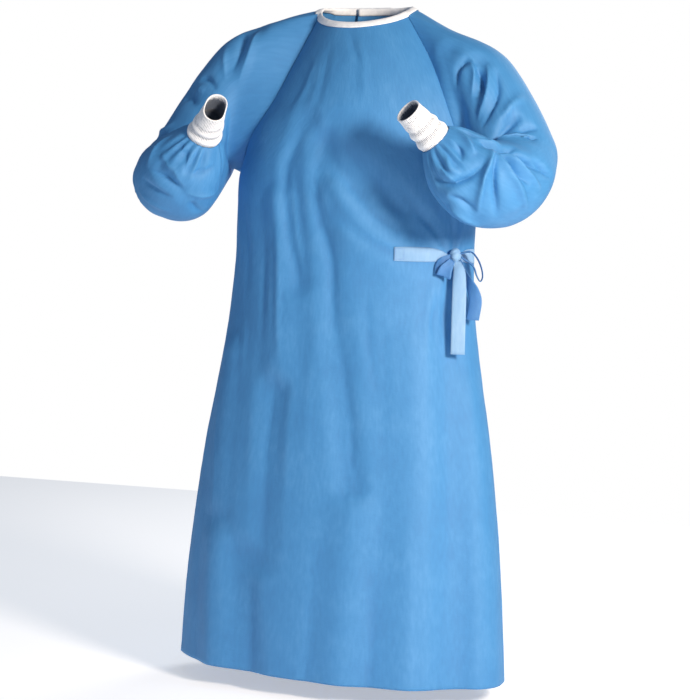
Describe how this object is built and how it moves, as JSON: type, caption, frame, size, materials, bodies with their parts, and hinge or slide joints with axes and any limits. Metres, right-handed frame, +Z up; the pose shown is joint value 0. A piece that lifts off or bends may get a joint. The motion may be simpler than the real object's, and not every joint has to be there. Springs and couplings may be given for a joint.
{
  "type": "surgical gown",
  "caption": "Blue wrap-around surgical gown in its worn form with nobody in it: raglan sleeves, white knitted cuffs, overlapping backs, bound neck and a waist tie in a side bow.",
  "frame": {"origin": "the middle of the neck opening, level with the tops of its two sides, where the wearer's neck and shoulders hold the gown up", "axes": "+Z up along the wearer's body, -Y out of the gown's front, +X to the wearer's left, where the bow is"},
  "size_m": [0.7791, 0.4038, 1.217],
  "materials": {
    "gown_cloth": "matt blue nonwoven, softly creased",
    "tie_cloth": "matt light blue nonwoven, one layer",
    "neck_tape": "matt white folded tape",
    "cuff_knit": "white rib knit",
    "fastener": "white hook and loop tape"
  },
  "bodies": {
    "root": {"front_panel": "gown_cloth", "back_panel_right": "gown_cloth", "back_panel_left": "gown_cloth", "sleeve_left": "gown_cloth", "sleeve_right": "gown_cloth", "neck_binding": "neck_tape", "neck_hook_strip": "fastener", "neck_loop_strip": "fastener", "cuff_left": "cuff_knit", "cuff_right": "cuff_knit", "tie_front": "tie_cloth", "tie_back": "tie_cloth", "tie_knot": "tie_cloth", "tie_loop_front": "tie_cloth", "tie_tail_front": "tie_cloth", "tie_loop_side": "tie_cloth", "tie_tail_side": "tie_cloth"}
  },
  "joints": []
}
